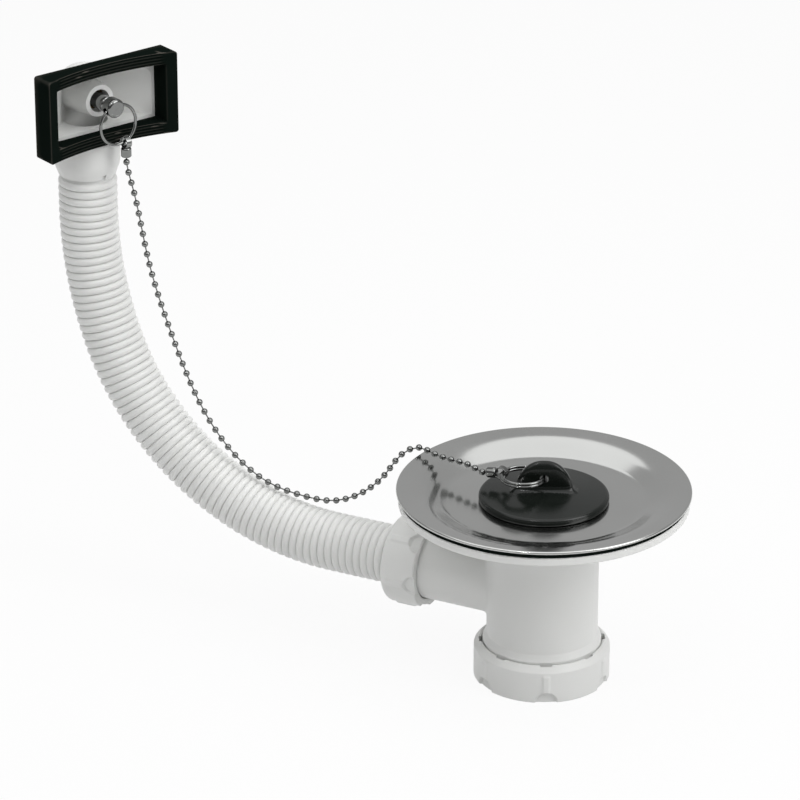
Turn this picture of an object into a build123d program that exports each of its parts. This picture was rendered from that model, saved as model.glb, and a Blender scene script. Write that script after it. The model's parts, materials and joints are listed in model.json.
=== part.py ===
"""Kitchen sink waste with a corrugated overflow hose, an overflow head, a plug and its bead chain.

The waste axis is Z. The origin is on that axis, in the plane where the rim of the dish seats on the
sink. The overflow branch leaves along -X, and the overflow head stands up at the end of the hose.
"""
import os
from math import cos, radians, sin, tan

from build123d import *

# Dish, pressed from sheet
sheet = 0.8
rim_r = 57.0
rim_height = 1.5
rim_band = 9.0
rim_slope_in_z = 0.2
bowl_slope = 9.0
bowl_depth = 3.8
seat_r = 21.8
well_r = 18.4
well_depth = 16.0
shoulder_bend = 6.0
bowl_bend = 9.0
seat_bend = 1.6
well_bend = 2.0
grid_hole_r = 2.6
grid_inner_r = 9.0
grid_inner_holes = 6
grid_outer_r = 14.6
grid_outer_holes = 12

# Fixing screw and its insert
screw_r = 2.9
screw_hole_r = 3.2
screw_head_r = 5.6
screw_head_h = 2.8
screw_length = 21.0
screw_slot = 1.3
body_insert_r = 4.6
body_insert_length = 13.0

# Gasket under the dish and body of the waste
gasket_inset = 1.0
gasket_width = 3.6
gasket_thickness = 1.4
flange_inset = 0.8
flange_thickness = 3.6
flange_edge = 0.8
wall = 2.4
dish_gap = 0.5
tube_r = 21.7
neck_depth = 20.5
hub_r = 6.6
hub_length = 19.0
arm_count = 3
arm_thickness = 2.6
arm_height = 12.0
throat_depth = 18.0
under_bend = 3.0
neck_bend = 4.0
flare_bend = 1.0
floor_bend = 2.0
body_edge = 0.4

# Captive coupling nut on the flared end of the tube
flare_r = 23.2
flare_height = 1.7
tail_rim_r = 24.2
tail_rim_h = 2.0
running_gap = 0.35
nut_top = 63.2
nut_height = 15.0
nut_r = 26.6
nut_shoulder = 2.3
nut_lip = 2.0
nut_thread_r = 23.0
nut_thread_lead = 0.5
nut_ribs = 6
nut_rib_width = 2.6
nut_rib_height = 0.6
nut_rib_turn = -61.0
notch_r = 4.2
notch_depth = 1.1
lip_slots = 8
lip_slot_width = 4.6
lip_slot_depth = 1.1
tail_washer_thickness = 2.0

# Overflow branch, nut and seal
branch_drop = 41.5
branch_r = 13.9
branch_bore_r = 9.2
branch_length = 57.0
branch_bend = 2.0
socket_depth = 9.0
overflow_nut_r = 17.6
overflow_nut_length = 15.0
overflow_nut_wall = 2.5
overflow_nut_rib_turn = 20.0
overflow_seal_thickness = 3.2

# Corrugated hose
hose_r = 11.7
hose_groove = 1.5
hose_wall = 0.8
hose_pitch = 3.15
hose_sides = 20
hose_bore_runs = 24
cuff_length = 14.0
top_cuff_length = 1.5
hose_run_x = -91.0
lower_bend_r = 106.0
lower_bend_turn = 70.0
upper_bend_r = 157.0
push_gap = 0.15
gap = 0.05

# Overflow head: housing and gasket, in the head's own frame (X out of its face, Z up)
head_turn = -25.2
head_centre_z = 129.2
collar_low_z = 96.5
neck_gap = 0.1
frame_w = 60.2
frame_h = 33.6
frame_depth = 10.5
frame_corner = 1.1
face_hollow_r = 92.0
opening_w = 51.0
opening_h = 24.0
face_ribs = 3
face_rib_pitch = 1.25
face_groove_width = 0.65
face_groove_depth = 0.6
plate_margin = 1.6
plate_thickness = 2.2
mouth_lip = 0.8
housing_wall = 1.4
housing_crown = 5.6
outlet_r = 8.6
collar_r = 13.1
collar_cone_height = 5.0
collar_bend = 8.0
collar_edge = 0.5
collar_top_edge = 1.2
collar_gap = 0.3
nipple_length = 12.5
nipple_wall = 1.4
boss_r = 6.4
boss_back_r = 8.6
boss_bore_r = 4.6
boss_ahead = 10.0
boss_web = 1.2
tick_width = 1.6
tick_height = 2.4
tick_depth = 0.7

# Chain stud and its insert
stud_insert_length = 9.0
stud_neck_seat = 4.6
stud_thread_r = 2.45
stud_thread_length = 8.0
stud_neck_r = 3.2
stud_waist_r = 2.7
stud_waist_length = 1.4
stud_head_r = 3.85
stud_head_length = 5.0
stud_proud = 6.4
stud_edge = 1.0
cross_hole_r = 1.45

# Rings, clips and chain
wire_r = 0.6
ring_r = 8.2
stud_ring_turn = 14.0
stud_clip_turn = 25.0
split_ring_pitch = 1.1
loop_in_r = 2.1
clip_sheet = 0.45
loop_width = 2.4
clip_box_length = 4.1
clip_box_width = 4.2
loop_play = 0.25
bead_r = 1.55
bead_end_r = 0.75
bead_sides = 8
clip_exit_r = 0.8
bead_pitch = 4.25
link_width = 0.6
link_gap = 0.2

# Plug, with its tab in the direction of plug_turn
plug_r = 25.2
plug_rim_h = 3.1
plug_crown = 1.9
plug_turn = 25.0
plug_skirt_depth = 4.5
plug_skirt_draft = 1.6
seat_gap = 0.4
tab_length = 22.5
tab_height = 11.6
tab_thickness = 4.4
tab_hole_r = 1.75
tab_hole_height = 6.6
plug_clip_turn = 155.0
plug_clip_dip = 10.0

# Route of the chain from the stud clip, down to the hose, over the rim and into the plug clip
chain_route = (
    (-177.9, -3.4, 96.0),
    (-171.8, -2.9, 66.0),
    (-161.3, -2.0, 32.2),
    (-147.2, -0.8, 1.1),
    (-133.2, 0.4, -15.4),
    (-121.5, 1.4, -22.6),
    (-106.2, 2.8, -26.0),
    (-94.2, 3.8, -25.9),
    (-82.6, 4.8, -21.0),
    (-70.7, 5.9, -9.3),
    (-63.6, 6.4, 0.3),
    (-57.6, 6.9, 3.6),
    (-50.8, 4.9, 3.7),
    (-40.0, 1.7, 4.0),
    (-30.0, -1.3, 4.5),
)

# Sizes and levels that follow from the ones above
rim_slope_in_r = rim_r - rim_band
bowl_r = rim_slope_in_r - bowl_slope
gasket_r = rim_r - gasket_inset
gasket_in_r = gasket_r - gasket_width
flange_r = rim_r - flange_inset
flange_top = -gasket_thickness
flange_low = flange_top - flange_thickness
bowl_z = -bowl_depth
grid_z = -well_depth
hub_top = grid_z - sheet
floor_top = bowl_z - sheet - dish_gap
floor_low = floor_top - wall
tube_in_r = tube_r - wall
branch_z = -branch_drop
lip_r = flare_r + running_gap
tail_rim_top = -nut_top - nut_lip - running_gap
tail_end = tail_rim_top - tail_rim_h
relief_r = tail_rim_r + running_gap
relief_low = tail_end - tail_washer_thickness - running_gap
nut_low = -nut_top - nut_height
branch_end = -branch_length
socket_end = branch_end + socket_depth
cuff_r = hose_r - hose_groove / 2
hose_in_r = hose_r - hose_groove - hose_wall
head_x = hose_run_x - lower_bend_r * sin(radians(lower_bend_turn))
head_x -= upper_bend_r * (1 - sin(radians(lower_bend_turn)))
frame_back = outlet_r + housing_wall + neck_gap
face_ahead = frame_back + frame_depth
face_hollow_x = face_ahead + (face_hollow_r**2 - (frame_w / 2) ** 2) ** 0.5
face_middle = face_hollow_x - face_hollow_r
stud_head_ahead = face_middle + stud_proud

head_place = Location((head_x, 0, head_centre_z), (0, 0, head_turn))
plug_place = Location((0, 0, 0), (0, 0, plug_turn))


def revolved(*points, radius=0):
    """Solid of revolution about Z from the corners of its half section, given as (r, z)."""
    outline = FilletPolyline(*points, radius=radius, close=True)
    return revolve(Plane.XZ * make_face(outline), Axis.Z)


def tube_between(outer_r, inner_r, low, high):
    """Plain ring about Z."""
    return revolved((inner_r, low), (outer_r, low), (outer_r, high), (inner_r, high))


def rod(radius, low, high):
    """Plain round bar about Z."""
    return Pos(0, 0, low) * Cylinder(radius, high - low, align=(Align.CENTER, Align.CENTER, Align.MIN))


def along_x(part):
    """Turn a part made about Z so that its Z axis points along -X, at the height of the branch."""
    return Location((0, 0, branch_z)) * Rot(0, -90, 0) * part


def make_dish():
    half = sheet / 2
    rim_mid = rim_r - half
    middle = FilletPolyline(
        (screw_hole_r + half, grid_z - half),
        (well_r, grid_z - half),
        (seat_r + half, bowl_z - half),
        (bowl_r, bowl_z - half),
        (rim_slope_in_r, rim_slope_in_z - half),
        (rim_mid, rim_height - half),
        (rim_mid, half),
        radius=(well_bend, seat_bend, bowl_bend, shoulder_bend, sheet * 0.7),
    )
    section = make_face(Wire(middle.edges()).offset_2d(half))
    dish = revolve(Plane.XZ * section, Axis.Z)
    holes = [
        loc * rod(grid_hole_r, grid_z - 2 * sheet, grid_z + sheet)
        for rings in (
            PolarLocations(grid_inner_r, grid_inner_holes),
            PolarLocations(grid_outer_r, grid_outer_holes),
        )
        for loc in rings
    ]
    return dish - holes


def make_fixing_screw():
    head_top = grid_z + screw_head_h
    head = revolved(
        (0, grid_z), (screw_head_r, grid_z), (screw_head_r, head_top), (0, head_top),
        radius=(0, 0, screw_head_h / 2, 0),
    )
    slot = Pos(0, 0, head_top) * Box(2 * screw_head_r, screw_slot, screw_head_h)
    return head - slot + rod(screw_r, grid_z - screw_length, grid_z)


def make_body_insert():
    return tube_between(body_insert_r, screw_r + gap, hub_top - body_insert_length, hub_top)


def make_dish_gasket():
    return tube_between(gasket_r, gasket_in_r, flange_top, 0)


def make_waste_body():
    bowl_out_r = bowl_r + wall + dish_gap
    section = FilletPolyline(
        (rim_slope_in_r + dish_gap, flange_top),
        (flange_r, flange_top),
        (flange_r, flange_low),
        (rim_slope_in_r + wall, flange_low),
        (bowl_out_r, floor_low),
        (seat_r + 2 * wall, floor_low - wall / 2),
        (tube_r, -neck_depth),
        (tube_r, -nut_top + 2 * flare_height),
        (flare_r, -nut_top + flare_height / 2),
        (flare_r, tail_rim_top),
        (tail_rim_r, tail_rim_top),
        (tail_rim_r, tail_end),
        (tube_in_r, tail_end),
        (tube_in_r, -throat_depth),
        (seat_r + sheet + dish_gap, floor_top),
        (bowl_r + dish_gap, floor_top),
        radius=(
            0, flange_edge, flange_edge, flare_bend, under_bend, under_bend, neck_bend, flare_bend,
            body_edge, 0, body_edge, body_edge, body_edge, under_bend, floor_bend, floor_bend,
        ),
        close=True,
    )
    body = revolve(Plane.XZ * make_face(section), Axis.Z)
    branch = along_x(rod(branch_r, 0, branch_length))
    branch -= rod(tube_r - wall / 2, branch_z - 2 * branch_r, branch_z + 2 * branch_r)
    joined = body + branch
    meeting = joined.edges().filter_by(GeomType.BSPLINE).filter_by(lambda e: e.center().X < -tube_r / 2)
    if meeting:
        joined = fillet(meeting, branch_bend)
    bore = along_x(rod(branch_bore_r, 0, branch_length))
    socket = along_x(rod(cuff_r + push_gap, branch_length - socket_depth, branch_length))
    hub = rod(hub_r, hub_top - hub_length, hub_top)
    arm_reach = tube_in_r + wall / 2
    arms = [
        Rot(0, 0, 360 * i / arm_count)
        * Pos(0, 0, hub_top - hub_length / 2)
        * Box(arm_reach, arm_thickness, arm_height, align=(Align.MIN, Align.CENTER, Align.CENTER))
        for i in range(arm_count)
    ]
    pocket = rod(body_insert_r + gap, hub_top - body_insert_length, hub_top)
    shank_hole = rod(screw_r + gap, hub_top - hub_length, hub_top)
    return joined - bore - socket + hub + arms - pocket - shank_hole


def add_grip(nut, outer_r, low, high, turn):
    """Grip of a nut about Z: straight ribs, each ending in a half-round notch at the low edge."""
    rib = Pos(outer_r - nut_rib_height, 0, low + notch_r / 2) * Box(
        2 * nut_rib_height,
        nut_rib_width,
        high - low - notch_r / 2,
        align=(Align.MIN, Align.CENTER, Align.MIN),
    )
    notch = Pos(outer_r - notch_depth, 0, low) * Rot(0, 90, 0) * rod(notch_r, 0, 2 * notch_depth)
    for i in range(nut_ribs):
        nut += Rot(0, 0, turn + 360 * i / nut_ribs) * rib
    for i in range(nut_ribs):
        nut -= Rot(0, 0, turn + 360 * i / nut_ribs) * notch
    return nut


def make_coupling_nut():
    top = -nut_top
    nut = revolved(
        (lip_r, top), (lip_r + sheet, top), (nut_r, top - nut_shoulder), (nut_r, nut_low),
        (nut_thread_r, nut_low), (nut_thread_r, relief_low - nut_thread_lead), (relief_r, relief_low),
        (relief_r, top - nut_lip), (lip_r, top - nut_lip),
        radius=(0, 0.3, 0.8, 0.5, 0.4, 0, 0, 0, 0),
    )
    nut = add_grip(nut, nut_r, nut_low, top - nut_shoulder - sheet, nut_rib_turn)
    slot = Pos(lip_r - lip_slot_depth, 0, top - nut_lip / 2) * Box(
        2 * lip_slot_depth, lip_slot_width, 2 * nut_lip, align=(Align.MIN, Align.CENTER, Align.CENTER)
    )
    for i in range(lip_slots):
        nut -= Rot(0, 0, nut_rib_turn + 360 * i / lip_slots) * slot
    return nut


def make_tail_washer():
    return tube_between(nut_thread_r - running_gap, tube_in_r, tail_end - tail_washer_thickness, tail_end)


def make_overflow_nut():
    """Made about Z with the hose end up, then laid along the branch."""
    far = branch_length + overflow_seal_thickness + overflow_nut_wall
    near = far - overflow_nut_length
    thread_r = branch_r + running_gap
    nut = revolved(
        (thread_r, near), (overflow_nut_r, near), (overflow_nut_r, far), (hose_r + running_gap, far),
        (hose_r + running_gap, far - overflow_nut_wall), (thread_r, far - overflow_nut_wall),
        radius=(0.4, 1.2, 2.2, 0.6, 0, 0),
    )
    nut = add_grip(nut, overflow_nut_r, near, far - 3 * sheet, overflow_nut_rib_turn)
    return along_x(nut)


def make_overflow_seal():
    far = branch_length + overflow_seal_thickness
    return along_x(tube_between(branch_r - gap, hose_r + push_gap, branch_length, far))


def hose_path():
    """Middle line of the hose: out of the branch, two bends upwards, and up to the collar."""
    run = Line((socket_end, branch_z), (hose_run_x, branch_z))
    lower = JernArc(run @ 1, run % 1, lower_bend_r, -lower_bend_turn)
    upper = JernArc(lower @ 1, lower % 1, upper_bend_r, lower_bend_turn - 90)
    rise = Line(upper @ 1, (head_x, collar_low_z))
    return Plane.XZ * Wire([run, lower, upper, rise])


def hose_section(path, radius, along):
    """Many-sided section of the hose: flat facets keep the bellows light."""
    where = path.position_at(along, PositionMode.LENGTH)
    ahead = path.tangent_at(along, PositionMode.LENGTH)
    return Plane(where, x_dir=(0, 1, 0), z_dir=ahead) * RegularPolygon(radius, hose_sides)


def make_hose():
    """Bellows between two plain cuffs: crests and grooves in turn around a plain bore."""
    path = hose_path()
    waved = path.length - cuff_length - top_cuff_length
    waves = round(waved / hose_pitch)
    pitch = waved / waves
    stations = [(0, cuff_r), (cuff_length, cuff_r)]
    for i in range(waves):
        start = cuff_length + i * pitch
        stations += [(start + pitch / 2, hose_r), (start + pitch, hose_r - hose_groove)]
    stations[-1] = (path.length - top_cuff_length, cuff_r)
    stations += [(path.length, cuff_r)]
    outside = loft([hose_section(path, r, s) for s, r in stations], ruled=True)
    bore_stops = [path.length * i / hose_bore_runs for i in range(hose_bore_runs + 1)]
    inside = loft([hose_section(path, hose_in_r, s) for s in bore_stops], ruled=True)
    return outside - inside


def frame_box(width, height, near, far, corner=0.0):
    """Upright block of the head, from near to far along X."""
    outline = RectangleRounded(width, height, corner) if corner else Rectangle(width, height)
    return Pos(near, 0, 0) * extrude(Plane.YZ * outline, far - near)


def hollow_front(depth):
    """Cylinder about a vertical axis that hollows the front of the frame, deeper by depth."""
    return Pos(face_hollow_x, 0, 0) * Cylinder(face_hollow_r + depth, 2 * frame_h)


def make_overflow_gasket():
    frame = frame_box(frame_w, frame_h, frame_back, face_ahead, frame_corner)
    frame -= frame_box(opening_w, opening_h, frame_back, face_ahead)
    frame -= hollow_front(0)
    rail_middle = (frame_h + opening_h) / 4
    groove = frame_box(opening_w, face_groove_width, frame_back, face_ahead)
    groove &= hollow_front(face_groove_depth)
    for side in (-1, 1):
        for i in range(face_ribs + 1):
            shift = (i - face_ribs / 2) * face_rib_pitch
            frame -= Pos(0, 0, side * rail_middle + shift) * groove
    return head_place * frame


def chamber_plan(round_r, half_width, front):
    """Plan of the chamber: a round back about the neck that opens to the width of the mouth."""
    back = CenterArc((0, 0), round_r, 90, 180)
    mouth = Line((front, -half_width), (front, half_width))
    return make_hull([back, mouth])


def crowned(block, crown):
    """Round the top edges of a chamber, but not the one along its open front."""
    top = block.edges().group_by(Axis.Z)[-1].sort_by(Axis.X)
    return fillet(top[:-1], crown)


def make_overflow_housing():
    mouth_h = opening_h - 2 * push_gap
    mouth_w = opening_w - 2 * push_gap
    mouth_front = frame_back + mouth_lip
    plate_back = frame_back - plate_thickness
    half_w = mouth_w / 2
    neck_r = outlet_r + housing_wall
    chamber = extrude(chamber_plan(neck_r, half_w, frame_back), mouth_h / 2, both=True)
    chamber = crowned(chamber, housing_crown + housing_wall)
    plate_w = frame_w - 2 * plate_margin
    plate_h = frame_h - 2 * plate_margin
    plate = frame_box(plate_w, plate_h, plate_back, frame_back, frame_corner)
    lip = frame_box(mouth_w, mouth_h, plate_back, mouth_front)
    collar_low = collar_low_z - head_centre_z
    collar_top = -frame_h / 2 - collar_gap
    cuff_out_r = hose_r - hose_groove / 4
    collar = revolved(
        (0, collar_low), (cuff_out_r, collar_low), (collar_r, collar_low + collar_cone_height),
        (collar_r, collar_top), (0, collar_top),
        radius=(0, collar_edge, collar_bend, collar_top_edge, 0),
    )
    neck = rod(neck_r, collar_top - housing_wall, housing_wall - mouth_h / 2)
    nipple_r = hose_in_r - push_gap
    nipple = rod(nipple_r, collar_low - nipple_length, collar_low)
    shell = chamber + plate + lip + collar + neck + nipple
    inner_w = half_w - housing_wall
    inner_h = mouth_h / 2 - housing_wall
    cavity = extrude(chamber_plan(outlet_r, inner_w, mouth_front), inner_h, both=True)
    shell -= crowned(cavity, housing_crown)
    shell -= rod(nipple_r - nipple_wall, collar_low - nipple_length, 0)
    shell -= revolved(
        (0, collar_low + housing_wall), (nipple_r - nipple_wall, collar_low + housing_wall),
        (outlet_r, collar_low + collar_cone_height), (outlet_r, 0), (0, 0),
    )
    boss_back = -outlet_r - housing_wall / 2
    boss = Rot(0, 90, 0) * revolved(
        (0, boss_back), (boss_back_r, boss_back), (boss_r, boss_ahead), (0, boss_ahead)
    )
    web = Box(
        outlet_r + boss_ahead / 2, boss_web, inner_h + gap, align=(Align.MIN, Align.CENTER, Align.MIN)
    )
    shell += (boss + Pos(-outlet_r, 0, 0) * web) & chamber
    shell -= Rot(0, 90, 0) * rod(boss_bore_r, stud_shoulder() - stud_insert_length, boss_ahead)
    tick = Pos(cuff_out_r - tick_depth, 0, collar_low) * Box(
        2 * tick_depth, tick_width, tick_height, align=(Align.MIN, Align.CENTER, Align.MIN)
    )
    return head_place * (shell - tick)


def stud_shoulder():
    """Plane where the neck of the stud seats on its insert, along the head's X."""
    return boss_ahead - stud_neck_seat


def make_stud_insert():
    front = stud_shoulder()
    insert = tube_between(boss_bore_r - gap, stud_thread_r + gap, front - stud_insert_length, front)
    return head_place * Rot(0, 90, 0) * insert


def ring_hole_ahead():
    """Plane of the stud ring, through the middle of the stud's head."""
    return stud_head_ahead - stud_head_length / 2


def make_chain_stud():
    shoulder = stud_shoulder()
    head_back = stud_head_ahead - stud_head_length
    waist_back = head_back - stud_waist_length
    stud = revolved(
        (0, shoulder - stud_thread_length), (stud_thread_r, shoulder - stud_thread_length),
        (stud_thread_r, shoulder), (stud_neck_r, shoulder), (stud_neck_r, waist_back),
        (stud_waist_r, waist_back), (stud_waist_r, head_back), (stud_head_r, head_back),
        (stud_head_r, stud_head_ahead), (0, stud_head_ahead),
        radius=(0, 0.3, 0, 0, 0.3, 0.2, 0.4, stud_edge, stud_edge, 0),
    )
    stud = Rot(0, 90, 0) * stud
    hole = Rot(90 + stud_ring_turn, 0, 0) * rod(cross_hole_r, -2 * stud_head_r, 2 * stud_head_r)
    return head_place * (stud - Pos(ring_hole_ahead(), 0, 0) * hole)


def stud_ring_place():
    """Frame of the hanging ring: its axis along the head's X, its middle under the cross hole."""
    lift = stud_head_r**2 / (4 * ring_r)
    turn = radians(stud_ring_turn)
    return Pos(ring_hole_ahead(), ring_r * sin(turn), lift - ring_r * cos(turn))


def make_stud_ring():
    return head_place * stud_ring_place() * Rot(0, 90, 0) * Torus(ring_r, wire_r)


def make_clip():
    """End clip about the middle of its loop, which takes the ring; the box along +X holds a bead."""
    loop_r = loop_in_r + clip_sheet
    loop = Rot(90, 0, 0) * tube_between(loop_r, loop_in_r, -loop_width / 2, loop_width / 2)
    box = Pos(loop_in_r, 0, 0) * Box(
        clip_box_length, clip_box_width, clip_box_width, align=(Align.MIN, Align.CENTER, Align.CENTER)
    )
    box = fillet(box.edges(), clip_sheet)
    room = clip_box_width - 2 * clip_sheet
    cavity = Pos(clip_bead_x(), 0, 0) * Box(clip_box_length - 2 * clip_sheet, room, room)
    exit_hole = Pos(clip_bead_x(), 0, 0) * Rot(0, 90, 0) * rod(clip_exit_r, 0, clip_box_length)
    return loop + box - cavity - exit_hole


def clip_bead_x():
    return loop_in_r + clip_box_length / 2


def stud_clip_place():
    """The clip hangs straight down from the ring: its X is down, its Y is along the head's width."""
    turn = radians(stud_clip_turn)
    ring = head_place * stud_ring_place()
    wire = ring * Pos(0, ring_r * sin(turn), -ring_r * cos(turn))
    slant = loop_width / 2 * tan(turn)
    return wire * Rot(0, 90, 0) * Pos(loop_in_r - wire_r / cos(turn) - slant - loop_play, 0, 0)


def plug_ring_centre():
    return plug_top() + tab_hole_height


def make_plug_ring():
    wires = [Pos(0, 0, side * split_ring_pitch / 2) * Torus(ring_r, wire_r) for side in (-1, 1)]
    return plug_place * Pos(-ring_r, 0, plug_ring_centre()) * (wires[0] + wires[1])


def plug_clip_place():
    """The clip lies out from the split ring towards the rim, with its far end a little lower."""
    turn = Rot(0, 0, plug_clip_turn)
    bundle = ((loop_in_r - loop_play) ** 2 - (wire_r + split_ring_pitch / 2) ** 2) ** 0.5 - wire_r
    ring = plug_place * Pos(-ring_r, 0, plug_ring_centre())
    return ring * turn * Pos(ring_r, 0, 0) * Rot(0, plug_clip_dip, 0) * Pos(bundle, 0, 0)


def chain_curve():
    first = stud_clip_place() * Pos(clip_bead_x(), 0, 0)
    last = plug_clip_place() * Pos(clip_bead_x(), 0, 0)
    lead = bead_pitch
    after_first = stud_clip_place() * Pos(clip_bead_x() + lead, 0, 0)
    before_last = plug_clip_place() * Pos(clip_bead_x() + lead, 0, 0)
    return Spline(
        first.position, after_first.position, *chain_route, before_last.position, last.position
    )


def chain_places():
    """Frames of the beads along the chain, each with Z along the chain."""
    curve = chain_curve()
    count = round(curve.length / bead_pitch)
    lengths = [curve.length * i / count for i in range(count + 1)]
    return [
        Plane(curve.position_at(s, PositionMode.LENGTH), z_dir=curve.tangent_at(s, PositionMode.LENGTH))
        for s in lengths
    ]


def bead_half_length():
    """Half the length of a bead: the ball is cut flat where the link goes in."""
    return (bead_r**2 - bead_end_r**2) ** 0.5


def make_chain_beads():
    """Balls with few flat facets, four bands each."""
    end = bead_half_length()
    levels = [-end, -end / 2, end / 2, end]
    rings = [
        Pos(0, 0, z) * RegularPolygon((bead_r**2 - z**2) ** 0.5, bead_sides)
        for z in levels
    ]
    bead = loft(rings, ruled=True)
    return Compound(children=[place.location * bead for place in chain_places()])


def make_chain_links():
    points = [place.origin for place in chain_places()]
    links = []
    for here, there in zip(points, points[1:]):
        step = there - here
        length = step.length - 2 * (bead_half_length() + link_gap)
        links.append(Plane((here + there) / 2, z_dir=step).location * Box(link_width, link_width, length))
    return Compound(children=links)


def plug_top():
    return bowl_z + plug_rim_h


def make_plug():
    top = plug_top()
    skirt_r = seat_r - seat_gap
    skirt_low = bowl_z - plug_skirt_depth
    body = revolved(
        (0, skirt_low), (skirt_r - plug_skirt_draft, skirt_low), (skirt_r - seat_gap, bowl_z),
        (plug_r, bowl_z), (plug_r, top), (0, top + plug_crown),
        radius=(0, 1, 0.6, 1.2, 1.2, 0),
    )
    half = tab_length / 2
    arch = make_face(
        [
            *Polyline((-half, -plug_rim_h / 2), (half, -plug_rim_h / 2)).edges(),
            *Line((half, -plug_rim_h / 2), (half, plug_crown)).edges(),
            *ThreePointArc((half, plug_crown), (0, tab_height + plug_crown), (-half, plug_crown)).edges(),
            *Line((-half, plug_crown), (-half, -plug_rim_h / 2)).edges(),
        ]
    )
    tab = Pos(0, 0, top) * extrude(Plane.XZ * arch, tab_thickness / 2, both=True)
    tab = fillet(tab.edges().group_by(Axis.Z)[-1], tab_thickness / 4)
    hole = Pos(0, 0, plug_ring_centre()) * Rot(90, 0, 0) * rod(tab_hole_r, -tab_thickness, tab_thickness)
    return plug_place * (body + tab - hole)


parts = {
    "strainer_dish": make_dish(),
    "fixing_screw": make_fixing_screw(),
    "body_insert": make_body_insert(),
    "dish_gasket": make_dish_gasket(),
    "waste_body": make_waste_body(),
    "coupling_nut": make_coupling_nut(),
    "tail_washer": make_tail_washer(),
    "overflow_nut": make_overflow_nut(),
    "overflow_seal": make_overflow_seal(),
    "overflow_hose": make_hose(),
    "overflow_housing": make_overflow_housing(),
    "overflow_gasket": make_overflow_gasket(),
    "stud_insert": make_stud_insert(),
    "chain_stud": make_chain_stud(),
    "stud_ring": make_stud_ring(),
    "stud_clip": stud_clip_place() * make_clip(),
    "chain_beads": make_chain_beads(),
    "chain_links": make_chain_links(),
    "plug_clip": plug_clip_place() * make_clip(),
    "plug_ring": make_plug_ring(),
    "plug": make_plug(),
}

os.makedirs("parts", exist_ok=True)
for name, shape in parts.items():
    export_step(shape, f"parts/{name}.step")
print(f"{len(parts)} nodes, chain of {len(chain_places())} beads, hose {hose_path().length:.1f} mm long")
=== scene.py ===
# %% [markdown]
# # A kitchen sink waste with its overflow
#
# This lesson dresses a plumbing fitting: a pressed steel dish with a rubber plug, a white
# moulded body under it, and a corrugated hose that climbs to a small rubber-faced overflow head.
# The sizes come from the CAD model, which is loaded first and never moved. Blender adds the soft
# edges, the moulded detail and the finishes that a CAD mesh lacks.

# %% Load the CAD frame
import json
from math import atan2, cos, pi, radians, sin, tan

import bmesh
import bpy
import numpy as np
from mathutils import Matrix, Vector


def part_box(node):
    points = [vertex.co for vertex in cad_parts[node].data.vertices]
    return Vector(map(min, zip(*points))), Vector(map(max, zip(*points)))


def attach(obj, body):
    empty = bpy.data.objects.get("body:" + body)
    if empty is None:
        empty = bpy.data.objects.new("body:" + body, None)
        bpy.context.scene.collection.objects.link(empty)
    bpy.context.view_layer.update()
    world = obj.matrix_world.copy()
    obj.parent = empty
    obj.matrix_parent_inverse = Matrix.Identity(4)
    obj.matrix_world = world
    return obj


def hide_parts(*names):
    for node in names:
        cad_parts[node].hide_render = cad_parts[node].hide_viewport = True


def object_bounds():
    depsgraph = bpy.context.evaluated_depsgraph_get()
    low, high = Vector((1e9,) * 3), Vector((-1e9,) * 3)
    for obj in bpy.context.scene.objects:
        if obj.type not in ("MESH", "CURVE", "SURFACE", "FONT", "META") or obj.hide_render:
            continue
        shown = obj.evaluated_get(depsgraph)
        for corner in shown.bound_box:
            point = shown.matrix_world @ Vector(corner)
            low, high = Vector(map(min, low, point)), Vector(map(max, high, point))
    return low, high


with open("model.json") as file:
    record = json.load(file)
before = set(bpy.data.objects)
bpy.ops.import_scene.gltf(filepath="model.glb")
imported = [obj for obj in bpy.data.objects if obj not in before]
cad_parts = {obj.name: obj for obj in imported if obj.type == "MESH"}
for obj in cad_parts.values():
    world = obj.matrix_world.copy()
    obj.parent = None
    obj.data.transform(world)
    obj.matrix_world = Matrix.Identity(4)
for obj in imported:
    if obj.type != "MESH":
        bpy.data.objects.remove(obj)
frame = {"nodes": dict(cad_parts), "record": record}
cad_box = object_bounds()
mm = 0.001

# %% [markdown]
# ## The camera
#
# A product photo is usually taken from far away with a long lens, so parallel edges stay nearly
# parallel. The camera is placed from four facts read off the picture: the direction it looks in,
# its focal length in pixels, how many pixels one millimetre takes at the waste, and the pixel where
# the axis of the waste meets the rim of the dish.

# %% Place the camera
picture_px = 800
focal_px = 4500.0
px_per_mm = 2.6
rim_axis_px = (544.0, 489.0)
rim_height = 0.8 * mm
rim_axis = Vector((0, 0, rim_height))
turn, tilt = radians(26.8), radians(24.1)

ahead = Vector((-sin(turn) * cos(tilt), cos(turn) * cos(tilt), -sin(tilt)))
across = Vector((cos(turn), sin(turn), 0))
upward = across.cross(ahead)
distance = focal_px / px_per_mm * mm
shift_right = (rim_axis_px[0] - picture_px / 2) / focal_px * distance
shift_down = (rim_axis_px[1] - picture_px / 2) / focal_px * distance
eye = rim_axis - ahead * distance - across * shift_right + upward * shift_down

lens = bpy.data.cameras.new("photo_camera")
lens.sensor_width = 36
lens.lens = focal_px * lens.sensor_width / picture_px
lens.clip_end = 20
camera = bpy.data.objects.new("photo_camera", lens)
camera.matrix_world = Matrix.Translation(eye) @ Matrix((across, upward, -ahead)).transposed().to_4x4()
bpy.context.scene.collection.objects.link(camera)
bpy.context.scene.camera = camera
print("camera at", [round(c, 3) for c in eye], "lens", round(lens.lens, 1), "mm")

# %% [markdown]
# ## Building meshes from rows of points
#
# Nearly every piece here is turned, pressed or extruded, so it can be described as a section that
# is carried along a path. Two helpers are enough. The first rounds the corners of a section, as a
# mould or a press tool does. The second joins rows of points into a skin of quads. A Weighted
# Normal modifier keeps flat faces flat in the shading, although their neighbours are rounded.

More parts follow.
